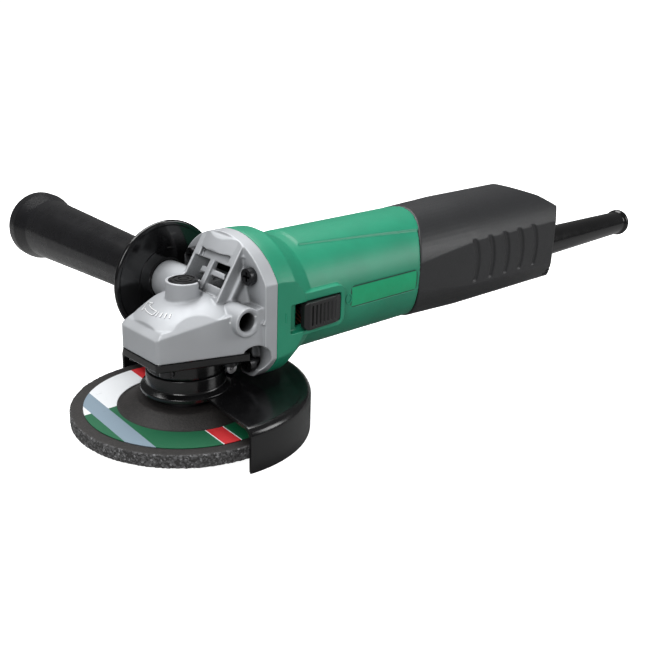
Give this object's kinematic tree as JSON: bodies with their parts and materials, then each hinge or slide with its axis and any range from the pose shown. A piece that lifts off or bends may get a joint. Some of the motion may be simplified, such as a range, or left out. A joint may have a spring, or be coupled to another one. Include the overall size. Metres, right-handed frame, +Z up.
{
  "type": "angle grinder",
  "caption": "Small angle grinder with slide switch, cast gear head, sheet wheel guard, depressed-centre wheel and screw-in side handle with hand shield.",
  "frame": {"origin": "on the spindle axis, at the outer face of the wheel clamp nut", "axes": "+X along the motor axis to the tail, +Y to the side handle, +Z up along the spindle axis away from the wheel"},
  "size_m": [0.388, 0.213, 0.0836],
  "materials": {
    "cast_aluminium": "cast, fine shot-blast grain",
    "black_steel": "gloss black enamel",
    "screw_steel": "machined",
    "black_screw": "black oxide",
    "bearing_steel": "ground and polished",
    "spring_steel": "drawn wire",
    "gear_steel": "hardened, ground",
    "button_plastic": "satin black",
    "seal_rubber": "matte",
    "wheel_abrasive": "bonded abrasive grit, very rough",
    "label_paper": "printed blotter",
    "green_nylon": "glass-filled nylon, fine spark texture",
    "plate_film": "satin film",
    "dark_nylon": "dark grey nylon, coarse spark texture",
    "gloss_black": "smooth soft plastic",
    "grip_plastic": "satin black",
    "shield_plastic": "smooth gloss black",
    "knob_plastic": "satin black",
    "lamination": "stacked laminations",
    "copper": "enamelled copper",
    "brass_part": "stamped brass",
    "carbon": "graphite",
    "cap_film": "film capacitor case",
    "lead_cover": "wire insulation"
  },
  "bodies": {
    "grinder": {"gear_cover": "cast_aluminium", "gear_cover_screws": "black_screw", "needle_bush": "bearing_steel", "lock_spring": "spring_steel", "bearing_retainer": "black_steel", "retainer_screws": "black_screw", "dust_seal": "seal_rubber", "spindle_bearing_outer": "bearing_steel", "spindle_bearing_balls": "bearing_steel", "motor_housing": "green_nylon", "nameplate": "plate_film", "fan_guide": "knob_plastic", "stator_core": "lamination", "stator_coils": "copper", "front_bearing_outer": "bearing_steel", "front_bearing_balls": "bearing_steel", "rear_bearing_outer": "bearing_steel", "rear_bearing_balls": "bearing_steel", "rear_bearing_bush": "seal_rubber", "brush_holders": "brass_part", "brush_spring_upper": "spring_steel", "brush_spring_lower": "spring_steel", "switch_spring": "spring_steel", "switch_unit": "knob_plastic", "tail_cover": "dark_nylon", "tail_cover_screws": "screw_steel", "capacitor": "cap_film", "leads": "lead_cover", "cord_clamp": "knob_plastic", "cord_clamp_screws": "screw_steel", "cord_guard": "gloss_black"},
    "lock": {"lock_button": "button_plastic", "lock_pin": "screw_steel"},
    "spindle_group": {"spindle": "gear_steel", "ring_gear": "gear_steel", "spindle_bearing_inner": "bearing_steel", "inner_flange": "black_screw", "grinding_wheel": "wheel_abrasive", "wheel_label": "label_paper", "clamp_nut": "black_screw"},
    "guard": {"wheel_guard": "black_steel", "guard_clamp_screw": "screw_steel"},
    "armature": {"armature_shaft": "gear_steel", "armature_core": "lamination", "armature_windings": "copper", "commutator": "copper", "fan": "knob_plastic", "pinion": "gear_steel", "pinion_nut": "screw_steel", "front_bearing_inner": "bearing_steel", "rear_bearing_inner": "bearing_steel"},
    "brush_upper": {"carbon_brush_upper": "carbon"},
    "brush_lower": {"carbon_brush_lower": "carbon"},
    "switch_bar": {"switch_link": "dark_nylon"},
    "knob": {"switch_knob": "knob_plastic"},
    "shield": {"hand_shield": "shield_plastic"},
    "side_handle": {"handle_grip": "grip_plastic", "handle_stud": "screw_steel"}
  },
  "joints": [
    {"name": "spindle_spin", "type": "hinge", "parent": "grinder", "child": "spindle_group", "pos_m": [0, 0, 0.025], "axis": [0, 0, 1], "continuous": true},
    {"name": "armature_spin", "type": "hinge", "parent": "grinder", "child": "armature", "pos_m": [0.06, 0, 0.045], "axis": [1, 0, 0], "continuous": true},
    {"name": "lock_press", "type": "slide", "parent": "grinder", "child": "lock", "axis": [0, 0, -1], "range_m": [0, 0.0032], "stiffness_N_per_m": 900, "springref_m": -0.002, "deforming": ["lock_spring"]},
    {"name": "switch_slide", "type": "slide", "parent": "grinder", "child": "switch_bar", "axis": [-1, 0, 0], "range_m": [0, 0.006], "stiffness_N_per_m": 250, "springref_m": -0.003, "deforming": ["switch_spring"]},
    {"name": "knob_rock", "type": "hinge", "parent": "switch_bar", "child": "knob", "pos_m": [0.05, -0.0252, 0.0439], "axis": [0, 0, 1], "range_deg": [-3, 0], "stiffness_Nm_per_rad": 0.3, "springref_deg": 5.73},
    {"name": "guard_turn", "type": "hinge", "parent": "grinder", "child": "guard", "pos_m": [0, 0, 0.018], "axis": [0, 0, 1], "range_deg": [-90, 90]},
    {"name": "handle_out", "type": "slide", "parent": "grinder", "child": "shield", "axis": [0, 1, 0], "range_m": [0, 0.012]},
    {"name": "handle_turn", "type": "hinge", "parent": "shield", "child": "side_handle", "pos_m": [0.013, 0.0315, 0.051], "axis": [0, 1, 0], "range_deg": [0, 3460]},
    {"name": "brush_upper_slide", "type": "slide", "parent": "grinder", "child": "brush_upper", "axis": [0, 0, 1], "range_m": [0, 0.0015], "stiffness_N_per_m": 500, "springref_m": -0.004, "deforming": ["brush_spring_upper"]},
    {"name": "brush_lower_slide", "type": "slide", "parent": "grinder", "child": "brush_lower", "axis": [0, 0, -1], "range_m": [0, 0.0015], "stiffness_N_per_m": 500, "springref_m": -0.004, "deforming": ["brush_spring_lower"]}
  ],
  "couplings": [
    {"joint": "armature_spin", "follows": "spindle_spin", "ratio": 2.6667},
    {"joint": "handle_turn", "follows": "handle_out", "rad_per_m": 5026.5}
  ]
}
